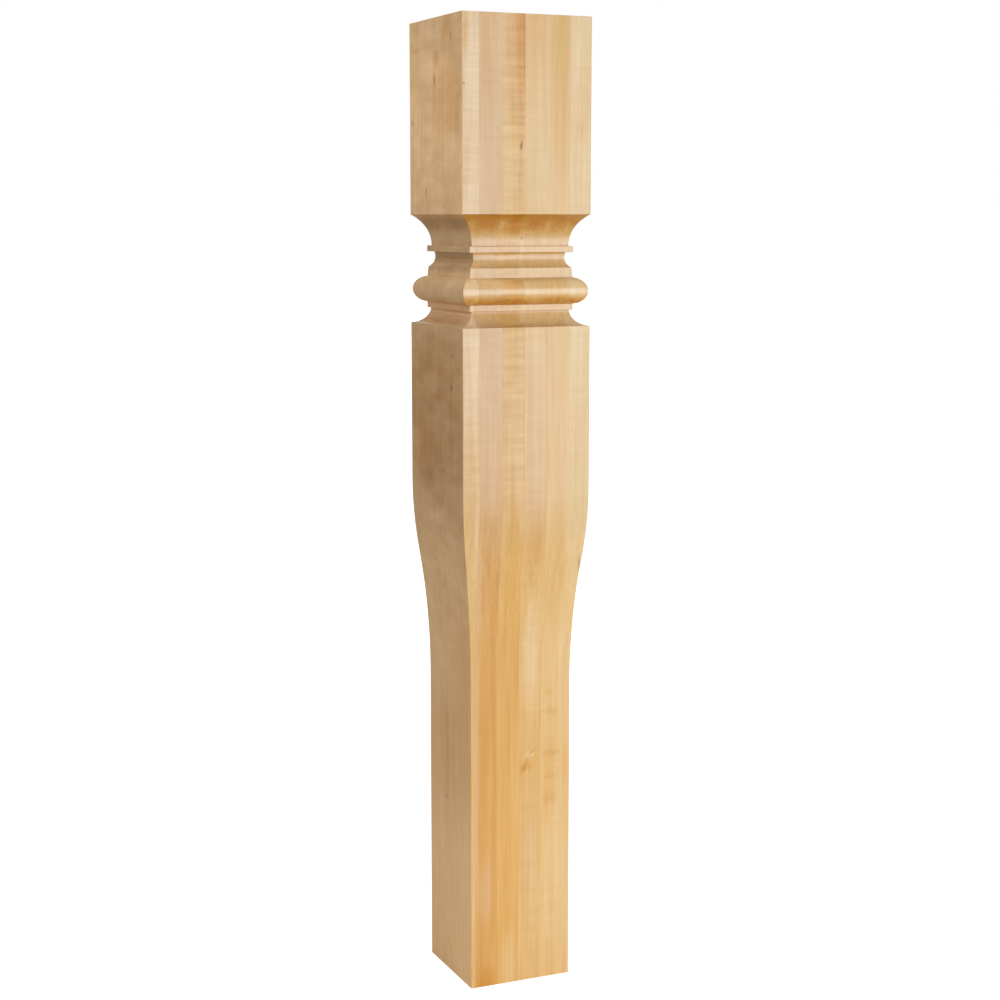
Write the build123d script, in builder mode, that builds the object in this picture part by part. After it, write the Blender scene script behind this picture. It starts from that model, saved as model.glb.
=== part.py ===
from build123d import *
import os

# A square kitchen island post, glued up from maple boards laid face to face and then
# moulded alike on all four sides. The origin is the centre of the foot and +Z is up.
# The glue lines stand across X, so the boards' edges show on the front (-Y) and the
# back (+Y), and the broad faces of the outermost boards are the left and right faces.

os.makedirs("parts", exist_ok=True)

# The whole post, in millimetres
post_height = 901.7
post_width = 127.0

# The glue-up: the blank was planed more on one side than on the other, so the two
# outermost boards are left with different thicknesses, and the inner boards are alike
left_board_thickness = 16.5
right_board_thickness = 20.5
inner_board_count = 4
planing_allowance = 6.0

# Heights of the mouldings, from the top of the post down
top_block_height = 175.7
upper_cove_height = 28.7
fillet_height = 5.5
scotia_height = 14.0
band_height = 8.8
bead_height = 24.4
lower_fillet_height = 5.5
lower_cove_height = 14.2
lower_block_height = 147.5
taper_height = 190.0

# How far the shaft and each moulding stand in from the faces of the square blocks
taper_depth = 12.7
upper_cove_depth = 15.1
fillet_setback = 11.9
scotia_top_setback = 16.9
band_top_setback = 12.8
bead_setback = 1.1
lower_cove_depth = 14.5

# Radii of the hollow mouldings
upper_cove_radius = 33.5
scotia_radius = 11.5
lower_cove_radius = 15.4

# The share of the taper that swells outwards before it turns hollow
swell_share = 0.37

# Levels that follow from the heights
block_bottom = post_height - top_block_height
fillet_top = block_bottom - upper_cove_height
fillet_bottom = fillet_top - fillet_height
band_top = fillet_bottom - scotia_height
bead_top = band_top - band_height
bead_bottom = bead_top - bead_height
lower_fillet_bottom = bead_bottom - lower_fillet_height
lower_block_top = lower_fillet_bottom - lower_cove_height
taper_top = lower_block_top - lower_block_height
taper_bottom = taper_top - taper_height

# Half widths that follow from the setbacks
block_face = post_width / 2
shaft_face = block_face - taper_depth
fillet_face = block_face - fillet_setback
bead_face = block_face - bead_setback

# The point where the taper's round swell turns into its hollow, on the straight line
# between the taper's two ends, so that both arcs meet without a corner
turn_point = (
    block_face - swell_share * taper_depth,
    taper_top - swell_share * taper_height,
)

# The post's outline, seen square on to any side
with BuildSketch() as outline:
    with BuildLine():
        foot = Polyline((0, 0), (shaft_face, 0), (shaft_face, taper_bottom))
        hollow = TangentArc(foot @ 1, turn_point, tangent=(0, 1))
        swell = TangentArc((block_face, taper_top), turn_point, tangent=(0, -1))
        lower_block = Line(swell @ 0, (block_face, lower_block_top))
        lower_cove = RadiusArc(
            lower_block @ 1,
            (block_face - lower_cove_depth, lower_fillet_bottom),
            lower_cove_radius,
        )
        lower_fillet = Polyline(
            lower_cove @ 1,
            (fillet_face, lower_fillet_bottom),
            (fillet_face, bead_bottom),
        )
        bead = ThreePointArc(
            lower_fillet @ 1,
            (bead_face, (bead_bottom + bead_top) / 2),
            (fillet_face, bead_top),
        )
        band = Line(bead @ 1, (block_face - band_top_setback, band_top))
        scotia = RadiusArc(
            band @ 1,
            (block_face - scotia_top_setback, fillet_bottom),
            scotia_radius,
        )
        fillet_band = Polyline(
            scotia @ 1,
            (fillet_face, fillet_bottom),
            (fillet_face, fillet_top),
            (block_face - upper_cove_depth, fillet_top),
        )
        upper_cove = RadiusArc(
            fillet_band @ 1,
            (block_face, block_bottom),
            upper_cove_radius,
        )
        top_block = Polyline(upper_cove @ 1, (block_face, post_height), (0, post_height), (0, 0))
    make_face()
    mirror(about=Plane.YZ)

# The glue lines across the post, with the rough blank's sides outside them
left_glue_line = left_board_thickness - block_face
right_glue_line = block_face - right_board_thickness
inner_board_thickness = (right_glue_line - left_glue_line) / inner_board_count
blank_half = block_face + planing_allowance
board_sides = [-blank_half]
for line in range(inner_board_count + 1):
    board_sides.append(left_glue_line + line * inner_board_thickness)
board_sides.append(blank_half)

# Each board is laid up rough, then the same outline is run through it from the front
# and from the side, which mitres the mouldings at the corners. Boards are numbered
# from the left. The scotia is deeper than the first board, and cuts it in two there.
for number, (left, right) in enumerate(zip(board_sides, board_sides[1:]), start=1):
    with BuildPart() as board:
        with BuildSketch():
            with Locations(((left + right) / 2, 0)):
                Rectangle(right - left, 2 * blank_half)
        extrude(amount=post_height)
        with BuildSketch(Plane.XZ):
            add(outline.sketch_local)
        extrude(amount=blank_half, both=True, mode=Mode.INTERSECT)
        with BuildSketch(Plane.YZ):
            add(outline.sketch_local)
        extrude(amount=blank_half, both=True, mode=Mode.INTERSECT)
    board.part.label = f"board_{number}"
    export_step(board.part, f"parts/{board.part.label}.step")
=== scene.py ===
import math
from typing import NamedTuple

import bmesh
import bpy
from bpy.props import FloatProperty, FloatVectorProperty, PointerProperty
from mathutils import Matrix, Vector


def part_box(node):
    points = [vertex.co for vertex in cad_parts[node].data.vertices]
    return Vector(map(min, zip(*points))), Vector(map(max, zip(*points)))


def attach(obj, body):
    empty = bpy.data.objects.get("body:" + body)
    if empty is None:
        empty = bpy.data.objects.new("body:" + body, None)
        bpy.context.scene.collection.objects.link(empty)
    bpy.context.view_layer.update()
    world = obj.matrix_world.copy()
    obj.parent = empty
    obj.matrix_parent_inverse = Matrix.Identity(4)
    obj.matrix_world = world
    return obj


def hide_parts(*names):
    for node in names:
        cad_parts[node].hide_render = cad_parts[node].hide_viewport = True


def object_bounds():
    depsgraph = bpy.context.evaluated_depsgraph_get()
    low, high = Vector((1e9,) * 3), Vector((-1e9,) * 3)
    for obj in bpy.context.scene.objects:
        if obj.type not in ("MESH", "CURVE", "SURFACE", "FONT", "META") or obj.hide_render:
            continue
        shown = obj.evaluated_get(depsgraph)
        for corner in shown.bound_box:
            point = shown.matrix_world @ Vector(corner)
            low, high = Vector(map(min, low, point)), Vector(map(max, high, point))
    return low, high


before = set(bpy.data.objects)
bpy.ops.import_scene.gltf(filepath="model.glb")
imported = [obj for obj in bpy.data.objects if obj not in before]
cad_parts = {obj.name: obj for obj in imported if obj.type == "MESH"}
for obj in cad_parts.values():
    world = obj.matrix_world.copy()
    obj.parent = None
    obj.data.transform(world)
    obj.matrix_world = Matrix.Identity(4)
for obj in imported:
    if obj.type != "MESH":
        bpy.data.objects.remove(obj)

# A square kitchen island post of maple boards glued face to face, moulded on four sides.
# Everything is in metres, apart from what is said to be in millimetres. The post stands on
# its foot at the origin, its front is -Y.

bl_info = {
    "name": "Kitchen Island Post",
    "version": (1, 0, 0),
    "blender": (4, 5, 0),
    "location": "3D View > Sidebar > Island Post",
    "description": "A laminated maple island post with coved and beaded mouldings",
    "category": "Add Mesh",
}

MM = 0.001
CAD_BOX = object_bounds()
POST_HEIGHT = CAD_BOX[1][2] - CAD_BOX[0][2]
BLOCK_FACE = (CAD_BOX[1][0] - CAD_BOX[0][0]) / 2

# The share of the taper that swells outwards before it turns hollow
SWELL_SHARE = 0.37

# Into how many straight steps each round part is divided
TAPER_HOLLOW_STEPS = 24
TAPER_SWELL_STEPS = 16
LOWER_COVE_STEPS = 20
BEAD_STEPS = 40
SCOTIA_STEPS = 22
UPPER_COVE_STEPS = 22
ARRIS_STEPS = 4
EASE_STEPS = 4

# The outline's outward corners that turn further than this are eased, over no more than
# this share of the run on either side, and the shading is crisp at sharper edges than this
EASED_TURN = math.radians(25)
EASED_SHARE = 0.45
CRISP_TURN = math.radians(28)

# Parts of the post in which light or shade is painted into the wood, in metres over the foot
NECK = (0.640, 0.712)
RECESS = (0.677, 0.720)
SCOTIA_MIDDLE = (0.686, 0.691)
BEAD = (0.646, 0.667)
LOWER_FILLET = (0.637, 0.643)
SHAFT_MIDDLE = (0.16, 0.26)

# Heights between which the wood passes from its tone at the head to that at the foot, is
# darkened as painted shade, and turns blotchier on a broad face
HEAD_TO_FOOT = (0.60, 0.30)
PAINTED_SHADE_UPWARDS = (0.40, 0.48)
BLOTCHIER_UPWARDS = (0.28, 0.45)

# The part of the noise that the amber blotches of the neck take, on every board alike
BLOTCH_SEED = 40.0

# The floor's half width, and the distances from the post between which it turns white
FLOOR_REACH = 30.0
FLOOR_FADE = (0.6, 3.0)


def length(label, description, millimetres):
    """A length property whose default is given in millimetres."""
    return FloatProperty(name=label, description=description, default=millimetres * MM,
                         min=0.0, unit="LENGTH", precision=5)


def angle(label, description, degrees):
    """An angle property whose default is given in degrees."""
    return FloatProperty(name=label, description=description, default=math.radians(degrees),
                         subtype="ANGLE")


def watts(label, description, power):
    """The power of a lamp."""
    return FloatProperty(name=label, description=description, default=power, min=0.0)


def share(label, description, part):
    """A number from 0 to 1."""
    return FloatProperty(name=label, description=description, default=part, min=0.0, max=1.0,
                         subtype="FACTOR")


def colour(label, description, red, green, blue):
    """A colour property in linear light."""
    return FloatVectorProperty(name=label, description=description, subtype="COLOR",
                               size=3, min=0.0, max=1.0, default=(red, green, blue))


class PostMouldings(bpy.types.PropertyGroup):
    """Heights of the mouldings from the top down, and how far they stand in from the blocks."""

    top_block: length("Top block", "Height of the square block at the top", 175.7)
    upper_cove: length("Upper cove", "Height of the cove under the top block", 28.7)
    fillet: length("Fillet", "Height of the thin square band", 5.5)
    scotia: length("Scotia", "Height of the round hollow", 14.0)
    band: length("Band", "Height of the band over the bead", 8.8)
    bead: length("Bead", "Height of the half-round bead", 24.4)
    lower_fillet: length("Lower fillet", "Height of the band under the bead", 5.5)
    lower_cove: length("Lower cove", "Height of the cove over the lower block", 14.2)
    lower_block: length("Lower block", "Height of the square part above the taper", 147.5)
    taper: length("Taper", "Height of the taper", 190.0)
    taper_depth: length("Taper depth", "How far the taper draws each side in", 12.7)
    upper_cove_depth: length("Upper cove depth", "Deepest part of the upper cove", 15.1)
    upper_cove_radius: length("Upper cove radius", "Radius of the upper cove", 33.5)
    fillet_setback: length("Fillet setback", "How far the bands stand in", 11.9)
    scotia_top_setback: length("Scotia top", "How far the scotia's top edge stands in", 16.9)
    scotia_radius: length("Scotia radius", "Radius of the scotia", 11.5)
    band_top_setback: length("Band top", "How far the band's top edge stands in", 12.8)
    bead_setback: length("Bead setback", "How far the bead stands in", 1.1)
    lower_cove_depth: length("Lower cove depth", "Deepest part of the lower cove", 14.5)
    lower_cove_radius: length("Lower cove radius", "Radius of the lower cove", 15.4)
    arris: length("Arris", "Radius that sanding leaves on the four long corners", 0.7)
    eased_edge: length("Eased edge", "Radius that sanding leaves on the mouldings", 0.4)


class MapleColours(bpy.types.PropertyGroup):
    """The tones of the wood, in linear light."""

    milk: colour("Milk", "Palest sapwood", 0.860, 0.640, 0.400)
    ivory: colour("Ivory", "Pale wood, a little grey", 0.800, 0.590, 0.310)
    cream: colour("Cream", "Pale wood", 0.790, 0.530, 0.250)
    straw: colour("Straw", "Light yellow wood", 0.750, 0.470, 0.185)
    blush: colour("Blush", "Slightly pink wood", 0.735, 0.488, 0.270)
    gold: colour("Gold", "Golden wood", 0.730, 0.410, 0.125)
    amber: colour("Amber", "The deepest of the golden wood", 0.680, 0.355, 0.105)
    # Ochre is also painted shade, where it deepens the undersides
    ochre: colour("Ochre", "Yellow-brown wood of the undersides", 0.690, 0.425, 0.120)
    fawn: colour("Fawn", "The left broad face, sawn near the heart", 0.810, 0.520, 0.265)
    # Tan is also painted shade, in bands across the left broad face
    tan: colour("Tan", "Darker patches of the left broad face", 0.700, 0.400, 0.175)
    rust: colour("Rust", "Orange heart streaks", 0.620, 0.280, 0.045)
    # Honey also paints one band of shade across the left broad face
    honey: colour("Honey", "Brown heart streaks", 0.480, 0.215, 0.050)
    mineral: colour("Mineral", "Dark flecks and small knots", 0.150, 0.048, 0.012)


class PostStage(bpy.types.PropertyGroup):
    """The camera and the lights round the post."""

    camera_distance: length("Camera distance", "From the post's axis to the camera", 1809.5)
    camera_height: length("Camera height", "Height of the camera over the floor", 722.3)
    camera_side: angle("Camera side", "Turn round the post; negative sees the left", -23.67)
    camera_heading: angle("Camera heading", "Turn of the lens; zero looks along +Y", -23.70)
    camera_drop: angle("Camera drop", "How far the lens looks down", 8.30)
    lens: FloatProperty(name="Lens", description="Focal length in millimetres", default=69.48)
    key_power: watts("Key light", "Power of the tall light at the front", 23.2)
    low_power: watts("Low light", "Power of the light near the floor at the left", 0.23)
    back_power: watts("Back light", "Power of the light that shows the back and the right",
                      12.0)
    top_power: watts("Top light", "Power of the narrow light on the top block's left", 0.12)
    room_light: share("Room light", "Strength of the light from all round", 0.47)
    floor_shade: share("Floor", "How much of the light the floor returns", 0.80)
    floor_lift: share("Floor lift", "White added to the floor where it is seen", 0.85)


class Wire:
    """One output of a shader node, with the arithmetic that the wood needs."""

    def __init__(self, shader, socket):
        self.shader = shader
        self.socket = socket

    def math(self, operation, first, second=0.0):
        """A Math node on two wires or numbers."""
        return self.shader.node("ShaderNodeMath", {"operation": operation},
                                {0: first, 1: second})

    def part(self, name):
        """Another output of the same node."""
        return Wire(self.shader, self.socket.node.outputs[name])

    def __add__(self, other):
        return self.math("ADD", self, other)

    def __sub__(self, other):
        return self.math("SUBTRACT", self, other)

    def __rsub__(self, other):
        return self.math("SUBTRACT", other, self)

    def __mul__(self, other):
        return self.math("MULTIPLY", self, other)

    def __truediv__(self, other):
        return self.math("DIVIDE", self, other)

    def __pow__(self, other):
        return self.math("POWER", self, other)

    __radd__ = __add__
    __rmul__ = __mul__


class Shader:
    """A node tree that is put together one node at a time."""

    def __init__(self, tree):
        self.tree = tree
        self.tree.nodes.clear()

    def node(self, kind, settings=None, inputs=None, output=0):
        """One of the outputs of a new node, which gets its settings first and then the
        values or links of its sockets."""
        made = self.tree.nodes.new(kind)
        for name, value in (settings or {}).items():
            setattr(made, name, value)
        for socket, value in (inputs or {}).items():
            if isinstance(value, Wire):
                self.tree.links.new(value.socket, made.inputs[socket])
            else:
                made.inputs[socket].default_value = value
        return Wire(self, made.outputs[output] if made.outputs else None)

    def step(self, value, low, high):
        """Rises smoothly from 0 at low to 1 at high, and falls where high is below low."""
        ends = (0.0, 1.0) if low < high else (1.0, 0.0)
        return self.node("ShaderNodeMapRange", {"interpolation_type": "SMOOTHSTEP"},
                         {"Value": value, "From Min": min(low, high), "From Max": max(low, high),
                          "To Min": ends[0], "To Max": ends[1]})

    def within(self, value, low, high, edge):
        """1 from low to high, and falls smoothly to 0 over that edge outside them."""
        return self.step(value, low - edge, low) * self.step(value, high + edge, high)

    def blend(self, share, first, second):
        """A colour that lies at that share of the way from first to second."""
        tones = [tone if isinstance(tone, Wire) else (*tone, 1.0) for tone in (first, second)]
        return self.node("ShaderNodeMix", {"data_type": "RGBA"},
                         {0: share, 6: tones[0], 7: tones[1]}, 2)

    def noise(self, place, shift, squeeze, scale, detail=2.0):
        """Noise from -0.5 to 0.5. The shift picks a patch of it, the scale is how often it
        changes in a metre, and squeeze multiplies the scale along each axis."""
        moved = self.node("ShaderNodeMapping", None,
                          {"Vector": place, "Location": (shift, shift * 0.7, shift * 1.3),
                           "Scale": squeeze})
        return self.node("ShaderNodeTexNoise", None,
                         {"Vector": moved, "Scale": scale, "Detail": detail}, "Fac") - 0.5


class Board(NamedTuple):
    """One board of the post, and how its wood grew."""

    slot: str
    head: str
    foot: str
    heart: tuple
    ring_width: float
    ripple: float
    rippled: tuple
    seed: float
    face: str = ""
    mottle: float = 0.0


# The boards from left to right. Each has its tones at the head and at the foot, the place
# of the tree's heart from the post's axis and the width of its growth rings, both in
# millimetres, how strongly its grain ripples and between which heights in metres, and
# which part of the noise it takes. The outermost ones show their broad face, which has a
# tone of its own and is more or less blotchy
BOARDS = {
    "board_1": Board("pale_maple", head="milk", foot="straw", heart=(-160, 10), ring_width=2.6,
                     ripple=0.15, rippled=(0.45, 1.0), seed=1.7, face="fawn", mottle=0.75),
    "board_2": Board("rosy_maple", head="blush", foot="amber", heart=(-150, -9), ring_width=1.9,
                     ripple=0.05, rippled=(0.45, 1.0), seed=5.2),
    "board_3": Board("golden_maple", head="straw", foot="gold", heart=(120, 20), ring_width=2.2,
                     ripple=0.20, rippled=(0.46, 1.0), seed=9.4),
    "board_4": Board("rosy_maple", head="cream", foot="straw", heart=(-130, 6), ring_width=2.0,
                     ripple=0.06, rippled=(0.0, 1.0), seed=14.1),
    "board_5": Board("golden_maple", head="cream", foot="cream", heart=(150, -16), ring_width=2.4,
                     ripple=0.04, rippled=(0.0, 0.30), seed=19.6),
    "board_6": Board("pale_maple", head="ivory", foot="cream", heart=(-110, 10), ring_width=2.1,
                     ripple=0.07, rippled=(0.40, 1.0), seed=23.9, face="straw", mottle=0.6),
}

# Marks in the wood, and bands of painted shade, in millimetres from the centre of the foot:
# the board, the tone, the centre, half the size along X, Y and Z, the lean to the right in
# degrees, the strength, and how much of the mark is soft edge
MARKS = (
    # Broad bands and patches on the front
    ("board_1", "milk", (-58.0, -63, 585), (8, 8, 32), 0, 0.20, 1.0),
    ("board_1", "gold", (-60.0, -63, 888), (5, 7, 36), 0, 0.55, 0.9),
    ("board_1", "straw", (-56.0, -63, 470), (10, 12, 110), 0, 0.90, 0.7),
    ("board_1", "gold", (-47.6, -63, 515), (2.6, 12, 140), 0, 0.55, 1.0),
    ("board_1", "gold", (-50.0, -50.8, 208), (6, 10, 55), 0, 0.45, 0.9),
    ("board_2", "blush", (-47.5, -58, 250), (9, 16, 330), 0, 0.80, 0.7),
    ("board_2", "gold", (-36.0, -63, 890), (13, 14, 110), 0, 0.38, 0.9),
    ("board_3", "cream", (-12.0, -50.8, 10), (14, 12, 60), 0, 0.60, 0.8),
    ("board_3", "straw", (-22.5, -58, 380), (7, 16, 330), 0, 0.50, 0.8),
    ("board_3", "amber", (-8.0, -55, 250), (9, 16, 110), 0, 0.40, 0.9),
    ("board_3", "gold", (-8.0, -63, 850), (13, 14, 120), 0, 0.95, 0.9),
    ("board_3", "amber", (-9.0, -63, 850), (14, 14, 80), 0, 0.40, 0.9),
    ("board_4", "blush", (9.0, -60, 490), (11, 16, 120), 0, 0.65, 0.8),
    ("board_4", "ivory", (10.0, -63, 770), (14, 12, 70), 0, 0.80, 0.9),
    ("board_4", "ivory", (10.0, -63, 600), (14, 12, 40), 0, 0.60, 0.9),
    ("board_4", "blush", (10.0, -63, 560), (14, 12, 80), 0, 0.60, 0.9),
    ("board_4", "gold", (10.0, -63, 890), (13, 14, 50), 0, 0.35, 0.9),
    ("board_4", "blush", (9.0, -55, 130), (11, 16, 110), 0, 0.55, 0.9),
    ("board_4", "gold", (10.0, -60, 430), (13, 16, 60), 0, 0.40, 0.9),
    ("board_4", "milk", (10.0, -55, 315), (13, 16, 85), 0, 0.55, 0.9),
    ("board_4", "amber", (10.0, -60, 408), (12, 16, 42), 0, 0.35, 0.9),
    ("board_5", "gold", (32.0, -50.8, 205), (12, 14, 50), 0, 0.40, 0.9),
    ("board_5", "gold", (33.0, -50.8, 0), (14, 12, 60), 0, 0.40, 0.9),
    ("board_5", "gold", (33.0, -63, 825), (14, 14, 120), 0, 0.90, 0.9),
    ("board_5", "ochre", (32.0, -63, 890), (13, 14, 70), 0, 0.90, 0.8),
    ("board_5", "straw", (33.0, -60, 420), (11, 16, 140), 0, 0.70, 0.8),
    ("board_6", "gold", (48.0, -50.8, 208), (10, 14, 45), 0, 0.30, 0.9),
    ("board_6", "gold", (48.0, -50.8, 0), (12, 12, 60), 0, 0.35, 0.9),
    ("board_6", "cream", (53.0, -63, 810), (14, 12, 100), 0, 0.60, 0.9),
    ("board_6", "gold", (53.0, -63, 803), (8, 8, 14), 0, 0.35, 1.0),
    ("board_6", "cream", (53.0, -63, 540), (14, 12, 70), 0, 0.60, 0.9),
    ("board_6", "ivory", (50.0, -50.8, 95), (16, 12, 75), 0, 0.50, 0.9),
    # Blotches at the top of the upper cove
    ("board_2", "amber", (-40.0, -58, 716), (10, 14, 11), 0, 0.70, 0.8),
    ("board_3", "milk", (-21.0, -58, 714), (6, 14, 13), 0, 0.45, 0.9),
    ("board_3", "amber", (-8.0, -58, 716), (9, 14, 10), 0, 0.50, 0.8),
    ("board_4", "amber", (12.0, -58, 717), (10, 14, 10), 0, 0.60, 0.8),
    ("board_5", "milk", (25.0, -58, 714), (5, 14, 13), 0, 0.40, 0.9),
    ("board_5", "amber", (37.0, -58, 717), (9, 14, 10), 0, 0.50, 0.8),
    # Patches on the left broad face, and bands of painted shade across it
    ("board_1", "tan", (-52.0, -35, 310), (5, 30, 110), 0, 0.40, 0.9),
    # Painted shade: a band across the left broad face, from the taper up to the mouldings
    ("board_1", "tan", (-63.5, 0, 545), (3.5, 95, 120), 0, 0.95, 0.6),
    # Painted shade: a band across the left broad face low on the shaft
    ("board_1", "tan", (-50.8, 0, 215), (5, 85, 85), 0, 0.75, 1.0),
    ("board_1", "tan", (-63.5, -30, 575), (3, 26, 34), 0, 0.60, 0.9),
    ("board_1", "rust", (-63.5, -32, 887), (3, 24, 28), 0, 0.42, 0.9),
    ("board_1", "rust", (-63.5, -34, 838), (3, 48, 48), 0, 0.26, 1.0),
    ("board_1", "rust", (-63.5, -3, 868), (3, 10, 12), 0, 0.42, 0.9),
    ("board_1", "tan", (-63.5, -54, 815), (3, 12, 60), 0, 0.70, 0.9),
    ("board_1", "tan", (-63.5, 48, 875), (3, 22, 4.0), 0, 0.60, 0.9),
    ("board_1", "tan", (-63.5, -4, 866), (3, 24, 2.6), 0, 0.50, 0.9),
    ("board_1", "rust", (-63.5, 0, 559), (3, 20, 6.0), 0, 0.40, 0.9),
    ("board_1", "rust", (-63.5, -12, 584), (3, 16, 9), 0, 0.25, 0.9),
    ("board_1", "rust", (-63.5, 8, 516), (3, 26, 8), 0, 0.20, 0.9),
    ("board_1", "rust", (-63.5, -8, 492), (3, 14, 2.6), 0, 0.30, 0.9),
    ("board_1", "rust", (-63.5, 25, 474), (3, 5, 10), 0, 0.20, 0.9),
    # Painted shade: a band across the left broad face at the lower cove
    ("board_1", "tan", (-50.8, 0, 630), (12, 66, 8), 0, 0.40, 0.5),
    # Painted shade: a band across the left broad face of the top block
    ("board_1", "tan", (-63.5, 0, 822), (3, 95, 42), 0, 0.55, 1.0),
    # Painted shade: a brown band across the left broad face at the lower cove
    ("board_1", "honey", (-54.0, 0, 628), (9, 70, 5), 0, 0.25, 0.7),
    ("board_1", "tan", (-50.8, -29, 148), (3, 3.0, 55), 0, 0.60, 0.9),
    ("board_1", "honey", (-50.8, -37, 172), (3, 1.2, 26), 0, 0.30, 0.9),
    ("board_1", "honey", (-50.8, -16, 86), (3, 1.4, 22), 0, 0.25, 0.9),
    ("board_1", "rust", (-50.8, -9, 33), (3, 8, 3.5), 0, 0.22, 0.9),
    ("board_2", "tan", (-46.5, 0, 684), (3, 66, 6), 0, 0.90, 0.6),
    # Heart streaks and orange blotches, and the pale wood beside them
    ("board_2", "blush", (-36.0, -50.8, 92), (12, 14, 50), 0, 0.45, 0.9),
    ("board_2", "rust", (-35.0, -50.8, 0), (14, 12, 30), 0, 0.65, 0.8),
    ("board_2", "rust", (-36.0, -60.0, 445), (12, 14, 22), 0, 0.22, 0.9),
    ("board_2", "rust", (-30.0, -63.0, 562), (7, 10, 14), 0, 0.12, 1.0),
    ("board_2", "milk", (-43.0, -63.0, 580), (5, 10, 45), 0, 0.35, 1.0),
    ("board_3", "honey", (-2.8, -63, 884), (1.7, 12, 62), 0, 0.80, 0.9),
    ("board_3", "rust", (-7.0, -63, 895), (7.5, 14, 95), 0, 0.95, 1.0),
    ("board_3", "honey", (-6.5, -63.5, 776), (1.8, 4, 42), 3, 0.28, 0.9),
    ("board_5", "rust", (31.0, -50.8, 178), (12, 10, 9), 0, 0.30, 0.9),
    ("board_5", "rust", (31.0, -50.8, 199), (12, 10, 5), 0, 0.25, 0.9),
    ("board_5", "rust", (31.0, -50.8, 221), (13, 10, 6), 0, 0.30, 0.9),
    ("board_5", "rust", (31.0, -50.8, 262), (13, 10, 6), 0, 0.25, 0.9),
    ("board_5", "rust", (29.0, -50.8, 281), (10, 10, 5), 0, 0.18, 0.9),
    # The knot low on the front
    ("board_4", "amber", (5.5, -50.8, 210), (9.5, 6, 7.0), -8, 0.95, 0.9),
    ("board_4", "rust", (5.0, -50.8, 209), (5.0, 6, 3.0), -8, 0.45, 0.9),
    ("board_4", "milk", (9.0, -50.8, 222), (6.5, 6, 5.0), 0, 0.45, 0.9),
    ("board_4", "honey", (11.0, -50.8, 224), (7.5, 6, 1.3), -38, 0.45, 0.9),
    # Flecks, with the rusty wood round them
    ("board_1", "honey", (-61.8, -63.5, 840), (2.2, 3, 2.0), -30, 0.55, 0.9),
    ("board_1", "rust", (-63.5, 1, 850), (4, 3.5, 14), 0, 0.35, 0.9),
    ("board_1", "mineral", (-63.5, 1, 849), (4, 2.0, 7), 0, 0.75, 0.9),
    ("board_1", "mineral", (-63.5, -38, 882), (4, 1.9, 5), 0, 0.60, 0.9),
    ("board_1", "rust", (-63.5, -25, 893), (5, 12, 7), 0, 0.35, 0.9),
    ("board_1", "mineral", (-63.5, 56, 810), (4, 3.5, 5), 0, 0.48, 0.9),
    ("board_1", "mineral", (-63.5, 23, 747), (4, 2.0, 6), 0, 0.62, 0.9),
    ("board_1", "mineral", (-63.5, -39, 599), (4, 2.0, 4), 0, 0.55, 0.9),
    ("board_1", "mineral", (-63.5, -37, 570), (4, 2.1, 6), 0, 0.65, 0.9),
    ("board_1", "mineral", (-62.5, -16.5, 492), (4, 2.0, 4), 0, 0.45, 0.9),
    ("board_1", "mineral", (-50.8, 9.0, 173), (4, 1.8, 4), 0, 0.50, 0.9),
    ("board_3", "rust", (-6.0, -63.5, 788), (2.4, 3, 11), 12, 0.55, 0.9),
    ("board_3", "mineral", (-6.0, -63.5, 788), (1.3, 3, 8), 12, 0.80, 0.8),
    ("board_3", "rust", (-8.3, -63.5, 756), (1.4, 3, 12), 3, 0.40, 0.9),
    ("board_4", "honey", (0.9, -50.2, 704.5), (2.2, 3, 1.8), -35, 0.85, 0.8),
    ("board_6", "mineral", (56.0, -56.0, 402), (1.5, 8, 16), -3, 0.50, 0.9),
)

# A mark whose half height is over this, in millimetres, has a ragged edge
RAGGED_HEIGHT = 6


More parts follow.
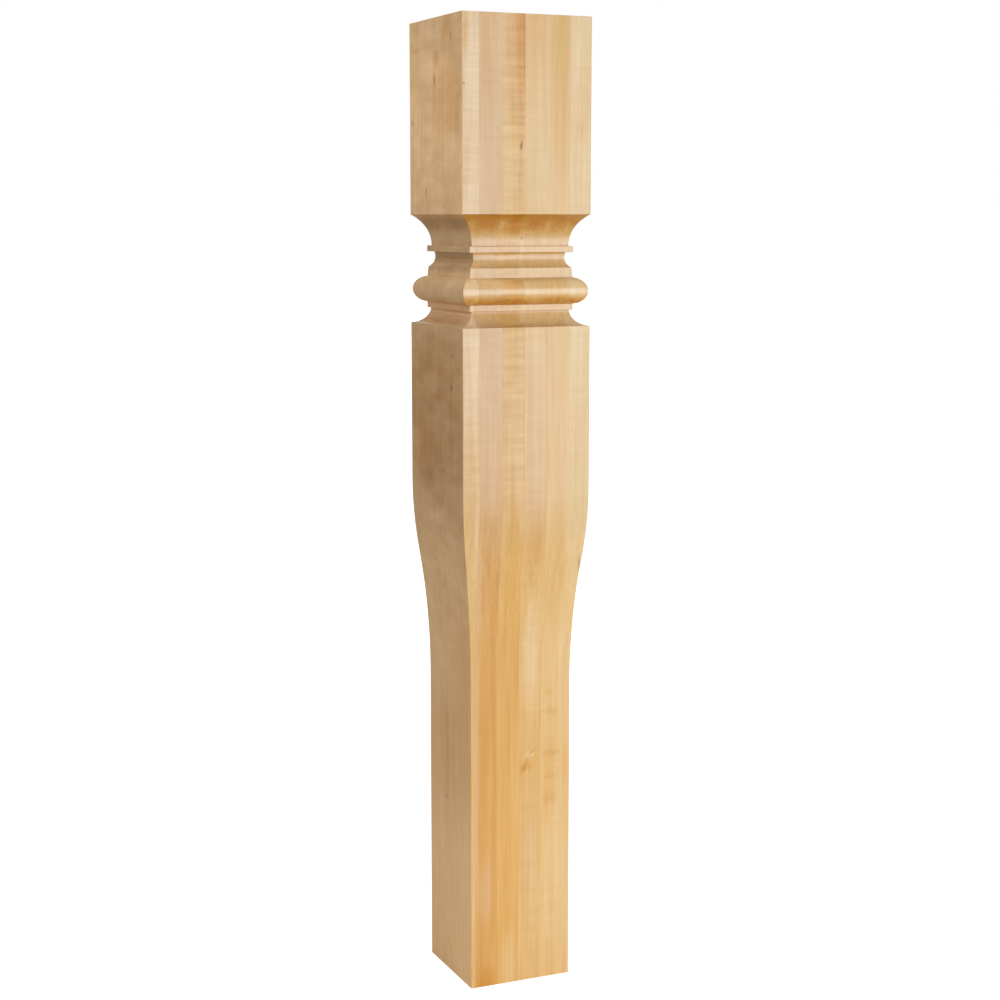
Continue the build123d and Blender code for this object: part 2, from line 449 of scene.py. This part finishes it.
class Maple(Shader):
    """Hard maple as one board holds it, with the marks that lie in that board and the light
    and shade painted into it.
    """

    def __init__(self, name, board, tones):
        self.material = bpy.data.materials.new(f"maple_{name}")
        self.material.use_nodes = True
        super().__init__(self.material.node_tree)
        self.board = board
        self.tones = tones
        self.find_place()
        self.grow_rings()
        self.grow_grain()
        tone = self.board_tone()
        tone = self.moulded(tone)
        tone = self.marked(tone, name)
        self.finish(self.shaded(tone))

    def named(self, tone):
        """The colour that a tone's name stands for."""
        return getattr(self.tones, tone)

    def grown(self, shift, squeeze, scale, detail=2.0):
        """Noise of this board's own, by how far it is shifted from the board's seed."""
        return self.noise(self.inside, self.board.seed + shift, squeeze, scale, detail)

    def find_place(self):
        """Where a point lies in the post, and which way the surface faces there."""
        self.inside = self.node("ShaderNodeTexCoord", output="Object")
        place = self.node("ShaderNodeSeparateXYZ", None, {0: self.inside})
        self.across, self.deep, self.height = (place.part(axis) for axis in "XYZ")
        facing = self.node("ShaderNodeSeparateXYZ", None, {0: self.inside.part("Normal")})
        sideways = facing.part("X")
        upwards = facing.part("Z")
        slope = upwards * upwards

        # Which surfaces look down, are the sawn ends, aren't upright, show a board's broad
        # face, and show the boards' edges
        self.under = self.step(upwards, -0.15, -0.80)
        self.sawn_end = self.step(slope, 0.90, 0.98)
        self.sloped = self.step(slope, 0.004, 0.080)
        self.broad_face = self.step(sideways * sideways, 0.03, 0.20)
        self.edge_face = 1.0 - self.broad_face
        self.bead = self.within(self.height, *BEAD, 0.003)

    def grow_rings(self):
        """Growth rings lie round the tree's heart, wander a little and widen towards its
        foot. They end in a thin line of dark late wood, stronger in some places."""
        heart_x, heart_y = self.board.heart
        wander = self.grown(0, (1, 1, 0.12), 16) * 0.016
        from_heart = self.across - heart_x * MM
        behind_heart = self.deep - heart_y * MM
        radius = (from_heart * from_heart + behind_heart * behind_heart) ** 0.5
        rings = (radius + wander + self.height * 0.012) / (self.board.ring_width * MM)
        late_wood = self.node("ShaderNodeMath", {"operation": "FRACT"}, {0: rings}) ** 5
        self.rings = late_wood * (self.grown(3, (1, 1, 0.2), 60) + 0.5)

    def grow_grain(self):
        """Hair-fine fibres, streaks, bands and clouds are drawn out along the grain, ripples
        cross it, and a broad face is blotchy."""
        self.fibre = self.grown(7, (1, 1, 0.015), 1100, 1)
        self.streak = self.grown(11, (1, 1, 0.03), 260)
        self.band = self.grown(13, (1, 1, 0.07), 75)
        self.cloud = self.grown(17, (1, 1, 0.35), 22)
        low, high = self.board.rippled
        rippled = self.within(self.height, low + 0.04, high - 0.04, 0.08) * self.edge_face
        self.ripple = self.grown(19, (0.12, 0.12, 1), 230, 1) * rippled * self.board.ripple
        self.figure = self.ripple
        if self.board.face:
            mottle = (self.grown(29, (1, 0.45, 1), 70, 3) * self.broad_face
                      * (self.step(self.height, *BLOTCHIER_UPWARDS) * 0.75 + 0.25)
                      * self.board.mottle)
            self.figure = self.ripple + mottle * 0.55

    def board_tone(self):
        """Each board passes from its tone at the head to its tone at the foot, and is more
        golden or paler in places."""
        hue = self.grown(23, (1, 1, 0.18), 34)
        drift = self.step(self.height + self.cloud * 0.25, *HEAD_TO_FOOT)
        tone = self.blend(drift, self.named(self.board.head), self.named(self.board.foot))
        tone = self.blend(self.step(hue, 0.05, 0.30) * 0.5, tone, self.tones.gold)
        tone = self.blend(self.step(hue, -0.05, -0.30) * 0.4, tone, self.tones.milk)
        if self.board.face:
            tone = self.blend(self.broad_face * 0.92, tone, self.named(self.board.face))
        return tone

    def moulded(self, tone):
        """In the neck the flats are painted pale as sheen, and the rounds golden where that sheen
        misses them, the bead less so, on every board alike. Painted shade deepens the undersides
        to ochre, blotched with amber."""
        neck_front = self.within(self.height, *NECK, 0.013) * self.edge_face
        # Painted sheen: the neck's flats turn pale, and its rounds golden where the sheen misses
        # them; the bead stays paler as a painted highlight
        golden = neck_front * self.sloped * (0.65 - self.bead * 0.30)
        tone = self.blend(golden, tone, self.tones.straw)
        tone = self.blend(neck_front * (1.0 - self.sloped) * 0.60, tone, self.tones.milk)
        # Painted shade turns the undersides, except on a broad face, toward ochre; the sawn ends
        # turn a little toward it, as end grain does
        tone = self.blend(self.under * self.edge_face * 0.80 + self.sawn_end * 0.25,
                          tone, self.tones.ochre)
        blotch = self.noise(self.inside, BLOTCH_SEED, (1, 1, 1.6), 52)
        tone = self.blend(self.step(blotch, 0.0, 0.10) * self.under * neck_front * 0.9,
                          tone, self.tones.amber)
        return self.blend(self.step(blotch, -0.02, -0.12) * self.under * neck_front * 0.25,
                          tone, self.tones.milk)

    def marked(self, tone, name):
        """The marks of that board, among them bands of painted shade. The fibres draw out the
        edges of the longer ones.
        """
        ragged = self.node("ShaderNodeCombineXYZ", None,
                           {0: self.across + self.streak * 0.0012, 1: self.deep,
                            2: self.height + self.streak * 0.020 + self.fibre * 0.016})
        for owner, mark_tone, centre, size, lean, strength, softness in MARKS:
            if owner != name:
                continue
            spot = self.node("ShaderNodeMapping", {"vector_type": "TEXTURE"},
                             {"Vector": ragged if size[2] > RAGGED_HEIGHT else self.inside,
                              "Location": Vector(centre) * MM, "Scale": Vector(size) * MM,
                              "Rotation": (0.0, math.radians(lean), 0.0)})
            away = self.node("ShaderNodeVectorMath", {"operation": "LENGTH"}, {0: spot}, "Value")
            cover = self.step(away, 1.0, 1.0 - softness) * strength
            tone = self.blend(cover, tone, self.named(mark_tone))
        return tone

    def shaded(self, tone):
        """Deeper wood is both darker and more saturated, as a power of the tone, and painted
        shade deepens the undersides. Painted shade darkens the wood above the taper, the recesses
        of a broad face and a band low on its shaft; painted light brightens the sawn ends, the
        bead and a broad face's lower fillet, and the grain itself is darker in places."""
        grain = self.fibre * 0.22 + self.streak * 0.32 + self.band * 0.36 + self.figure * 2.0
        # Painted shade deepens the undersides, less on a broad face and on the bead
        below = self.under * (0.70 - self.broad_face * 0.35 - self.bead * 0.25)
        depth = (1.0 + grain * (1.0 - self.broad_face * 0.6) + self.cloud * 0.30
                 + self.rings * 0.22 + below + self.sawn_end * 0.10)
        shade = self.node("ShaderNodeGamma", None, {"Color": tone, "Gamma": depth})

        height = self.height
        # Painted shade darkens the wood above the taper, where the key light's sheen falls
        upper = self.step(height, *PAINTED_SHADE_UPWARDS)
        # Painted shade darkens a band of a broad face low on the shaft
        middle = self.within(height, *SHAFT_MIDDLE, 0.07) * 0.045
        # Painted light brightens a broad face's lower fillet, which lies in the bead's shadow
        fillet = self.within(height, *LOWER_FILLET, 0.003) * 0.25
        # Painted shade darkens the recesses of a broad face, less across the scotia's middle,
        # which the top block already shades
        scotia = self.within(height, *SCOTIA_MIDDLE, 0.002)
        recess = self.within(height, *RECESS, 0.006) * (0.25 - scotia * 0.17)
        dark_lines = (self.fibre * 0.05 + self.streak * 0.06) * (1.0 + self.broad_face)
        # Painted light brightens the sawn ends, which get little lamp light, and a painted
        # highlight brightens the bead on the edges
        light = (1.0 - upper * 0.115 + self.sawn_end * 0.12 + self.bead * self.edge_face * 0.09
                 + (fillet - recess - middle) * self.broad_face
                 - dark_lines - self.figure * 0.8)
        return self.node("ShaderNodeVectorMath", {"operation": "SCALE"},
                         {0: shade, "Scale": light})

    def finish(self, shade):
        """Bare sanded wood, with a little relief along its fibres and across its ripples."""
        roughness = 0.24 + self.fibre * 0.08 + self.sawn_end * 0.20 + self.broad_face * 0.50
        relief = self.fibre * 0.6 + self.streak * 0.5 + self.ripple * 4.0
        normal = self.node("ShaderNodeBump", None,
                           {"Strength": 0.25, "Distance": 0.0004, "Height": relief})
        surface = self.node("ShaderNodeBsdfPrincipled", None,
                            {"Base Color": shade, "Roughness": roughness, "Normal": normal,
                             "Specular IOR Level": 0.16})
        self.node("ShaderNodeOutputMaterial", None, {"Surface": surface})


def arc(start, end, radius, steps):
    """Points after start on the short arc to end, which bulges to the right of the way
    there, or to the left where the radius is negative."""
    chord = end - start
    half = chord.length / 2
    right = Vector((chord.y, -chord.x)).normalized()
    inward = math.copysign(math.sqrt(radius * radius - half * half), radius)
    centre = (start + end) / 2 - right * inward
    arm = start - centre
    turn = 2 * math.asin(half / radius)
    return [centre + Matrix.Rotation(turn * step / steps, 2) @ arm
            for step in range(1, steps)] + [end]


def tangent_radius(start, end):
    """Radius of the arc from start to end that is upright at the end with the block's
    or the shaft's face."""
    rise = abs(end.y - start.y)
    run = abs(end.x - start.x)
    return (rise * rise + run * run) / (2 * run)


def post_outline(sizes):
    """The post's outline from the foot up, as points of half width and height."""
    shaft = BLOCK_FACE - sizes.taper_depth
    fillet = BLOCK_FACE - sizes.fillet_setback
    levels = [POST_HEIGHT]
    for height in (sizes.top_block, sizes.upper_cove, sizes.fillet, sizes.scotia, sizes.band,
                   sizes.bead, sizes.lower_fillet, sizes.lower_cove, sizes.lower_block,
                   sizes.taper):
        levels.append(levels[-1] - height)
    (top, block_bottom, fillet_top, fillet_bottom, band_top, bead_top, bead_bottom,
     cove_top, block_top, taper_top, taper_bottom) = levels

    taper_foot = Vector((shaft, taper_bottom))
    taper_head = Vector((BLOCK_FACE, taper_top))
    turn = taper_head.lerp(taper_foot, SWELL_SHARE)
    block_edge = Vector((BLOCK_FACE, block_top))
    bead_foot = Vector((fillet, bead_bottom))
    bead_head = Vector((fillet, bead_top))
    bead_depth = sizes.fillet_setback - sizes.bead_setback
    bead_radius = (sizes.bead ** 2 / 4 + bead_depth ** 2) / (2 * bead_depth)
    scotia_foot = Vector((BLOCK_FACE - sizes.band_top_setback, band_top))
    scotia_head = Vector((BLOCK_FACE - sizes.scotia_top_setback, fillet_bottom))
    neck = Vector((BLOCK_FACE - sizes.upper_cove_depth, fillet_top))

    outline = [Vector((shaft, 0.0)), taper_foot]
    outline += arc(taper_foot, turn, -tangent_radius(taper_foot, turn), TAPER_HOLLOW_STEPS)
    outline += arc(turn, taper_head, tangent_radius(taper_head, turn), TAPER_SWELL_STEPS)
    outline.append(block_edge)
    outline += arc(block_edge, Vector((BLOCK_FACE - sizes.lower_cove_depth, cove_top)),
                   -sizes.lower_cove_radius, LOWER_COVE_STEPS)
    outline += [Vector((fillet, cove_top)), bead_foot]
    outline += arc(bead_foot, bead_head, bead_radius, BEAD_STEPS)
    outline.append(scotia_foot)
    outline += arc(scotia_foot, scotia_head, -sizes.scotia_radius, SCOTIA_STEPS)
    outline += [Vector((fillet, fillet_bottom)), Vector((fillet, fillet_top)), neck]
    outline += arc(neck, Vector((BLOCK_FACE, block_bottom)), -sizes.upper_cove_radius,
                   UPPER_COVE_STEPS)
    outline.append(Vector((BLOCK_FACE, top)))
    return outline


def eased(outline, radius):
    """The outline with its outward corners rounded a little, as sanding leaves them."""
    closed = [Vector((0.0, outline[0].y))] + outline + [Vector((0.0, outline[-1].y))]
    soft = []
    for before, corner, after in zip(closed, closed[1:], closed[2:]):
        arriving = corner - before
        leaving = after - corner
        turn = math.atan2(arriving.x * leaving.y - arriving.y * leaving.x,
                          arriving.dot(leaving))
        if turn < EASED_TURN:
            soft.append(corner)
            continue
        reach = min(radius * math.tan(turn / 2), arriving.length * EASED_SHARE,
                    leaving.length * EASED_SHARE)
        first = corner - arriving.normalized() * reach
        last = corner + leaving.normalized() * reach
        for step in range(EASE_STEPS + 1):
            share = step / EASE_STEPS
            soft.append(first.lerp(corner, share).lerp(corner.lerp(last, share), share))
    return soft


def square_ring(mesh, half, height, radius):
    """Corners of a square with rounded arrises, counter-clockwise seen from above."""
    ring = []
    for quarter, (side, front) in enumerate(((1, 1), (-1, 1), (-1, -1), (1, -1))):
        for step in range(ARRIS_STEPS + 1):
            turn = math.radians(90 * (quarter + step / ARRIS_STEPS))
            ring.append(mesh.verts.new((side * (half - radius) + radius * math.cos(turn),
                                        front * (half - radius) + radius * math.sin(turn),
                                        height)))
    return ring


def whole_post(sizes):
    """The moulded post as one closed mesh, before it is divided into its boards."""
    mesh = bmesh.new()
    rings = [square_ring(mesh, half, height, sizes.arris)
             for half, height in eased(post_outline(sizes), sizes.eased_edge)]
    for lower, upper in zip(rings, rings[1:]):
        for here, there in zip(range(len(lower)), list(range(1, len(lower))) + [0]):
            mesh.faces.new((lower[here], lower[there], upper[there], upper[here]))
    mesh.faces.new(reversed(rings[0]))
    mesh.faces.new(rings[-1])
    return mesh


def cut_board(post, low, high):
    """A copy of the post's mesh between two glue lines, closed where it is cut."""
    board = post.copy()
    for glue_line, away in ((low, -1), (high, 1)):
        # The post's own left and right sides aren't cut
        if abs(glue_line) > BLOCK_FACE - MM:
            continue
        cut = bmesh.ops.bisect_plane(
            board, geom=board.verts[:] + board.edges[:] + board.faces[:],
            plane_co=(glue_line, 0, 0), plane_no=(away, 0, 0), clear_outer=True)
        rim = [part for part in cut["geom_cut"] if isinstance(part, bmesh.types.BMEdge)]
        bmesh.ops.edgeloop_fill(board, edges=rim)
    bmesh.ops.recalc_face_normals(board, faces=board.faces)
    return board


def add_piece(name, mesh, material):
    """An object from a bmesh, smooth where it is round and crisp where it is not."""
    data = bpy.data.meshes.new(name)
    mesh.to_mesh(data)
    mesh.free()
    data.shade_smooth()
    data.set_sharp_from_angle(angle=CRISP_TURN)
    data.materials.append(material)
    piece = bpy.data.objects.new(name, data)
    bpy.context.scene.collection.objects.link(piece)
    return piece


class MESH_OT_post_boards(bpy.types.Operator):
    """Build the six moulded maple boards of the post"""

    bl_idname = "mesh.post_boards"
    bl_label = "Moulded boards"

    def execute(self, context):
        sizes = context.scene.post_mouldings
        tones = context.scene.maple_colours
        post = whole_post(sizes)
        for name, board in BOARDS.items():
            low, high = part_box(name)
            mesh = cut_board(post, low.x, high.x)
            if not mesh.faces:
                raise RuntimeError(f"nothing is left of {name}")
            wood = Maple(name, board, tones)
            piece = add_piece(f"moulded_{name}", mesh, wood.material)
            flats = piece.modifiers.new("Flat faces", "WEIGHTED_NORMAL")
            flats.keep_sharp = True
            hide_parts(name)
            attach(piece, "root")
        post.free()
        return {"FINISHED"}


def seen_directly(shader):
    """1 for rays that show the stage itself, and 0 for those that only carry its light."""
    path = shader.node("ShaderNodeLightPath", output="Is Camera Ray")
    mirrored = path.math("MAXIMUM", path.part("Is Glossy Ray"), path.part("Is Transmission Ray"))
    return path.math("MAXIMUM", path, mirrored)


def add_floor(stage):
    """A pale floor that is seen as white and keeps the post's soft shadow."""
    mesh = bmesh.new()
    bmesh.ops.create_grid(mesh, x_segments=1, y_segments=1, size=FLOOR_REACH)
    material = bpy.data.materials.new("pale_floor")
    material.use_nodes = True
    paint = Shader(material.node_tree)
    shade = stage.floor_shade
    place = paint.node("ShaderNodeTexCoord", output="Object")
    away = paint.node("ShaderNodeVectorMath", {"operation": "LENGTH"}, {0: place}, "Value")
    far = paint.step(away, *FLOOR_FADE)
    lift = seen_directly(paint) * (far * (1.0 - stage.floor_lift) + stage.floor_lift)
    matt = paint.node("ShaderNodeBsdfDiffuse", None, {"Color": (shade, shade, shade, 1.0)})
    glow = paint.node("ShaderNodeEmission", None, {"Strength": lift})
    both = paint.node("ShaderNodeAddShader", None, {0: matt, 1: glow})
    paint.node("ShaderNodeOutputMaterial", None, {"Surface": both})
    floor = add_piece("pale_floor", mesh, material)


def add_room(scene, stage):
    """Even light from all round, in front of a white background."""
    world = bpy.data.worlds.new("studio_room")
    world.use_nodes = True
    room = Shader(world.node_tree)
    seen = seen_directly(room)
    strength = seen + (1.0 - seen) * stage.room_light
    light = room.node("ShaderNodeBackground", None,
                      {"Color": (1.0, 1.0, 1.0, 1.0), "Strength": strength})
    room.node("ShaderNodeOutputWorld", None, {"Surface": light})
    scene.world = world


def add_softbox(scene, name, power, turn, distance, height, size, aim, spread=180):
    """A soft light of that width and height, turned round the post by so many degrees from
    its front, at that distance from its axis and aimed at that height of it."""
    light = bpy.data.lights.new(name, "AREA")
    light.energy = power
    light.shape = "RECTANGLE"
    light.size, light.size_y = size
    light.spread = math.radians(spread)
    lamp = bpy.data.objects.new(name, light)
    side = math.radians(turn)
    lamp.location = (distance * math.sin(side), -distance * math.cos(side), height)
    ahead = Vector((0.0, 0.0, aim)) - lamp.location
    lamp.rotation_euler = ahead.to_track_quat("-Z", "Y").to_euler()
    scene.collection.objects.link(lamp)


class SCENE_OT_post_stage(bpy.types.Operator):
    """Build the floor, the lights and the camera round the post"""

    bl_idname = "scene.post_stage"
    bl_label = "Stage"

    def execute(self, context):
        scene = context.scene
        stage = scene.post_stage
        add_floor(stage)
        add_room(scene, stage)
        add_softbox(scene, "key_light", stage.key_power, turn=25, distance=2.2, height=0.62,
                    size=(0.38, 1.24), aim=0.62)
        add_softbox(scene, "back_light", stage.back_power, turn=140, distance=2.2, height=0.62,
                    size=(0.8, 1.24), aim=0.62)
        add_softbox(scene, "low_light", stage.low_power, turn=-50, distance=0.6, height=0.04,
                    size=(0.3, 0.3), aim=0.04, spread=80)
        add_softbox(scene, "top_light", stage.top_power, turn=-100, distance=0.90, height=1.70,
                    size=(0.45, 0.10), aim=0.74, spread=13)

        eye = bpy.data.cameras.new("camera")
        eye.lens = stage.lens
        eye.sensor_width = 36.0
        eye.sensor_fit = "HORIZONTAL"
        camera = bpy.data.objects.new("camera", eye)
        side = stage.camera_side
        camera.location = (stage.camera_distance * math.sin(side),
                           -stage.camera_distance * math.cos(side), stage.camera_height)
        camera.rotation_euler = (math.radians(90) - stage.camera_drop, 0.0,
                                 stage.camera_heading)
        scene.collection.objects.link(camera)
        scene.camera = camera
        scene.view_settings.view_transform = "Standard"
        return {"FINISHED"}


class VIEW3D_PT_island_post(bpy.types.Panel):
    """Sizes and colours of the post, and the buttons that build it"""

    bl_label = "Island Post"
    bl_idname = "VIEW3D_PT_island_post"
    bl_space_type = "VIEW_3D"
    bl_region_type = "UI"
    bl_category = "Island Post"

    def draw(self, context):
        layout = self.layout
        layout.operator(MESH_OT_post_boards.bl_idname)
        layout.operator(SCENE_OT_post_stage.bl_idname)
        for group in (context.scene.post_mouldings, context.scene.maple_colours,
                      context.scene.post_stage):
            box = layout.box()
            for name in group.__annotations__:
                box.prop(group, name)


CLASSES = (
    PostMouldings,
    MapleColours,
    PostStage,
    MESH_OT_post_boards,
    SCENE_OT_post_stage,
    VIEW3D_PT_island_post,
)


def register():
    for cls in CLASSES:
        bpy.utils.register_class(cls)
    bpy.types.Scene.post_mouldings = PointerProperty(type=PostMouldings)
    bpy.types.Scene.maple_colours = PointerProperty(type=MapleColours)
    bpy.types.Scene.post_stage = PointerProperty(type=PostStage)


def unregister():
    del bpy.types.Scene.post_stage
    del bpy.types.Scene.maple_colours
    del bpy.types.Scene.post_mouldings
    for cls in reversed(CLASSES):
        bpy.utils.unregister_class(cls)


def main():
    register()
    bpy.ops.mesh.post_boards()
    bpy.ops.scene.post_stage()


if __name__ == "__main__":
    main()
